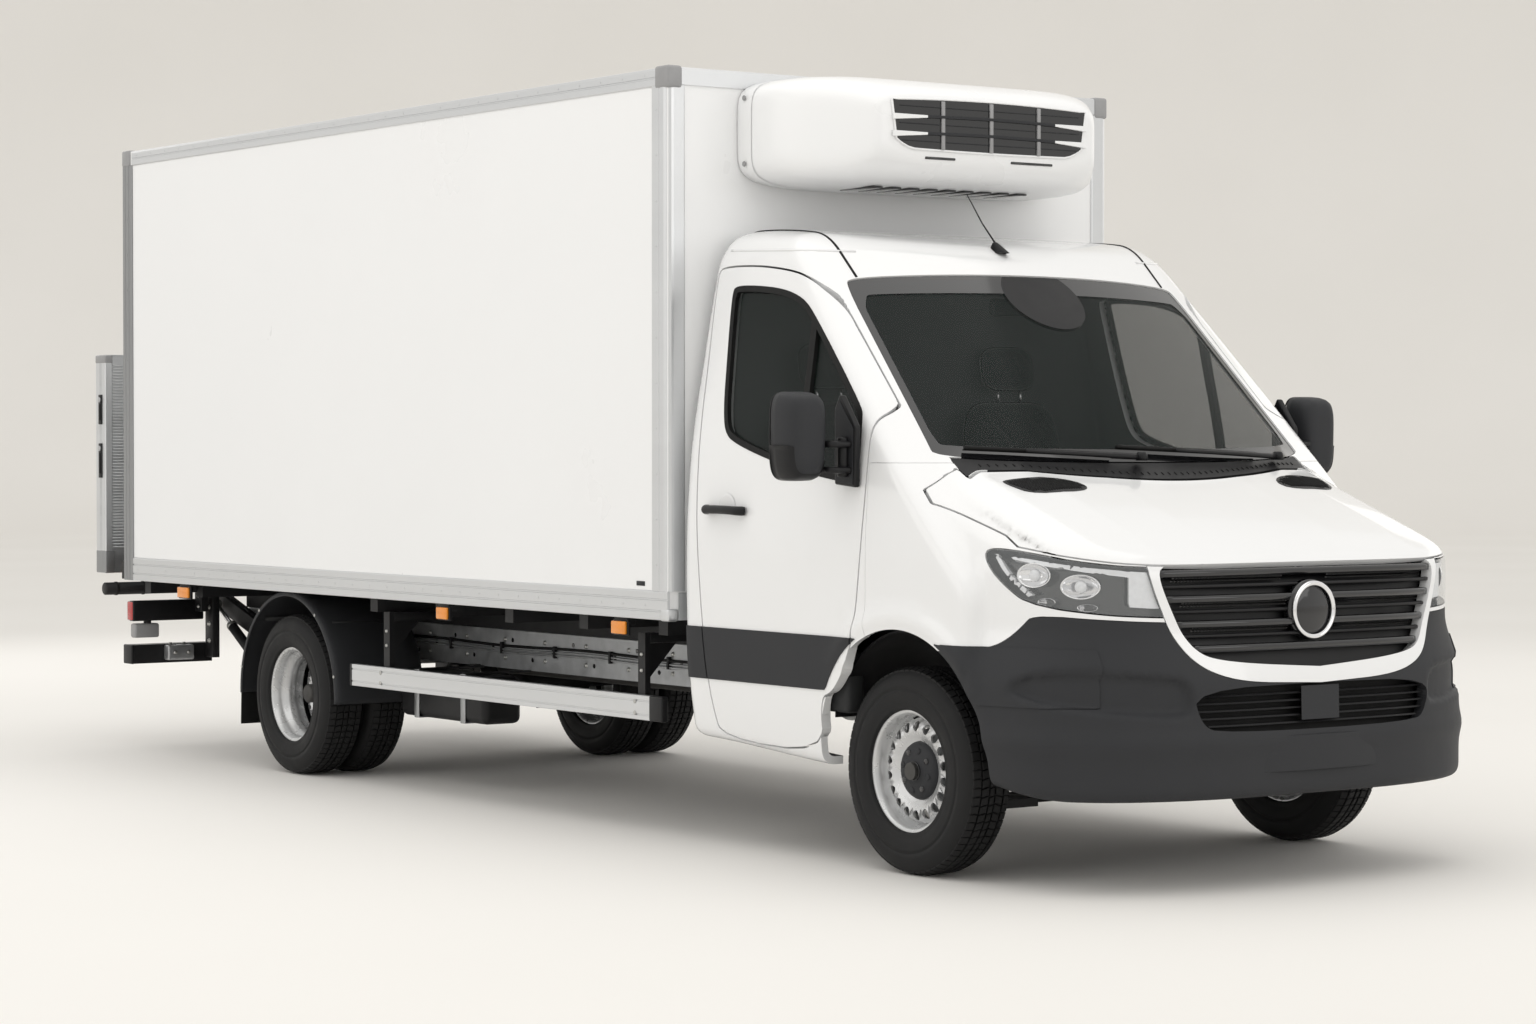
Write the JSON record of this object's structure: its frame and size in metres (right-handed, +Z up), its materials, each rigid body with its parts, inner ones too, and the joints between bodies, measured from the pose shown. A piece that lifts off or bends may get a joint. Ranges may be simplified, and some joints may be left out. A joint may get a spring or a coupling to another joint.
{
  "type": "refrigerated truck",
  "caption": "Light chassis-cab truck with an insulated box body, a cooling unit on its front wall, twin rear wheels and an upright cantilever tail lift.",
  "frame": {"origin": "on the ground under the middle of the whole vehicle", "axes": "+Z up, -Y is the direction of travel, +X is the vehicle's left side"},
  "size_m": [2.544, 7.23, 2.8],
  "materials": {
    "paint_white": "gloss white body paint",
    "panel_white": "smooth white composite panel",
    "alu": "satin anodised extrusion",
    "alu_worn": "brushed platform aluminium",
    "galvanised": "galvanised steel",
    "chassis_black": "satin black chassis paint",
    "cast": "cast and machined metal",
    "plastic_grey": "grained dark grey plastic",
    "plastic_black": "black plastic",
    "interior": "grained interior plastic",
    "seat_fabric": "dark woven seat fabric",
    "wheel_silver": "silver wheel paint",
    "tyre_rubber": "black tyre rubber",
    "glass": "tinted safety glass",
    "lamp": "clear lamp cover over bright reflectors",
    "lamp_red": "red lamp lens"
  },
  "bodies": {
    "chassis": {"chassis_rails": "galvanised", "chassis_crossmembers": "chassis_black", "body_subframe": "chassis_black", "front_subframe": "chassis_black", "engine_block": "cast", "propeller_shaft": "cast", "rear_axle": "chassis_black", "leaf_springs": "chassis_black", "fuel_tank": "plastic_black", "exhaust": "galvanised", "cab_body": "paint_white", "cab_floor": "interior", "wheel_liners": "plastic_black", "fenders": "paint_white", "cowl": "plastic_black", "windscreen": "glass", "grille": "plastic_black", "headlights": "lamp", "front_bumper": "plastic_grey", "dashboard": "interior", "seats": "seat_fabric", "cargo_floor": "panel_white", "cargo_roof": "panel_white", "cargo_sides": "panel_white", "cargo_front_wall": "panel_white", "cargo_rear_frame": "alu", "cargo_trim": "alu", "refrigeration_unit": "panel_white", "evaporator": "panel_white", "side_guards": "alu", "mudguards": "plastic_black", "tail_lamps": "lamp_red", "underrun_bar": "chassis_black", "lift_frame": "chassis_black"},
    "hood_panel": {"hood": "paint_white"},
    "left_door": {"door_left": "paint_white", "door_glass_left": "glass", "mirror_left": "plastic_grey"},
    "right_door": {"door_right": "paint_white", "door_glass_right": "glass", "mirror_right": "plastic_grey"},
    "left_knuckle": {"knuckle_left": "cast"},
    "right_knuckle": {"knuckle_right": "cast"},
    "left_front_wheel": {"front_wheel_left": "wheel_silver", "front_tyre_left": "tyre_rubber"},
    "right_front_wheel": {"front_wheel_right": "wheel_silver", "front_tyre_right": "tyre_rubber"},
    "left_rear_wheels": {"rear_wheels_left": "wheel_silver", "rear_tyres_left": "tyre_rubber"},
    "right_rear_wheels": {"rear_wheels_right": "wheel_silver", "rear_tyres_right": "tyre_rubber"},
    "rack": {"tie_rods": "cast"},
    "driver_wheel": {"steering_wheel": "interior"},
    "shutter": {"shutter_bar": "alu", "shutter_curtain": "panel_white"},
    "arms": {"lift_arms": "chassis_black"},
    "barrels": {"lift_barrels": "chassis_black"},
    "rods": {"lift_rods": "galvanised"},
    "head": {"lift_head": "galvanised"},
    "platform": {"lift_platform": "alu_worn"}
  },
  "joints": [
    {"name": "steer_left", "type": "hinge", "parent": "chassis", "child": "left_knuckle", "pos_m": [0.78, -2.63, 0.22], "axis": [-0.2305, 0, 0.9731], "range_deg": [-35, 35]},
    {"name": "steer_right", "type": "hinge", "parent": "chassis", "child": "right_knuckle", "pos_m": [-0.78, -2.63, 0.22], "axis": [0.2305, 0, 0.9731], "range_deg": [-35, 35]},
    {"name": "rack_slide", "type": "slide", "parent": "chassis", "child": "rack", "axis": [1, 0, 0], "range_m": [-0.08, 0.08]},
    {"name": "steering_wheel_turn", "type": "hinge", "parent": "chassis", "child": "driver_wheel", "pos_m": [0.43, -2.16, 1.21], "axis": [0, 0.6428, 0.766], "range_deg": [-490, 490]},
    {"name": "front_left_spin", "type": "hinge", "parent": "left_knuckle", "child": "left_front_wheel", "pos_m": [0.855, -2.63, 0.348], "axis": [1, 0, 0], "continuous": true},
    {"name": "front_right_spin", "type": "hinge", "parent": "right_knuckle", "child": "right_front_wheel", "pos_m": [-0.855, -2.63, 0.348], "axis": [1, 0, 0], "continuous": true},
    {"name": "rear_left_spin", "type": "hinge", "parent": "chassis", "child": "left_rear_wheels", "pos_m": [0.77, 1.695, 0.348], "axis": [1, 0, 0], "continuous": true},
    {"name": "rear_right_spin", "type": "hinge", "parent": "chassis", "child": "right_rear_wheels", "pos_m": [-0.77, 1.695, 0.348], "axis": [1, 0, 0], "continuous": true},
    {"name": "door_left_hinge", "type": "hinge", "parent": "chassis", "child": "left_door", "pos_m": [0.99, -2.41, 1], "axis": [0, 0, -1], "range_deg": [0, 70]},
    {"name": "door_right_hinge", "type": "hinge", "parent": "chassis", "child": "right_door", "pos_m": [-0.99, -2.41, 1], "axis": [0, 0, 1], "range_deg": [0, 70]},
    {"name": "hood_hinge", "type": "hinge", "parent": "chassis", "child": "hood_panel", "pos_m": [0, -2.724, 1.38], "axis": [-1, 0, 0], "range_deg": [0, 50]},
    {"name": "lift_arm_pivot", "type": "hinge", "parent": "chassis", "child": "arms", "pos_m": [0, 2.8, 0.52], "axis": [-1, 0, 0], "range_deg": [0, 57]},
    {"name": "lift_head_pivot", "type": "hinge", "parent": "arms", "child": "head", "pos_m": [0, 3.52, 0.745], "axis": [-1, 0, 0], "range_deg": [-57, 0]},
    {"name": "lift_barrel_pivot", "type": "hinge", "parent": "chassis", "child": "barrels", "pos_m": [0, 2.82, 0.4], "axis": [-1, 0, 0], "range_deg": [0, 58.25]},
    {"name": "lift_rod_slide", "type": "slide", "parent": "barrels", "child": "rods", "axis": [0, 0.8618, 0.5073], "range_m": [-0.1183, 0]},
    {"name": "platform_fold", "type": "hinge", "parent": "head", "child": "platform", "pos_m": [0, 3.54, 0.85], "axis": [-1, 0, 0], "range_deg": [0, 90]},
    {"name": "shutter_lift", "type": "slide", "parent": "chassis", "child": "shutter", "axis": [0, 0, 1], "range_m": [0, 1.68], "deforming": ["shutter_curtain"]}
  ],
  "couplings": [
    {"joint": "steer_right", "follows": "steer_left", "ratio": 1},
    {"joint": "rack_slide", "follows": "steer_left", "m_per_rad": -0.125},
    {"joint": "steering_wheel_turn", "follows": "steer_left", "ratio": 14},
    {"joint": "lift_head_pivot", "follows": "lift_arm_pivot", "ratio": -1},
    {"joint": "lift_barrel_pivot", "follows": "lift_arm_pivot", "ratio": 1.0044},
    {"joint": "lift_rod_slide", "follows": "lift_arm_pivot", "m_per_rad": -0.11789}
  ]
}
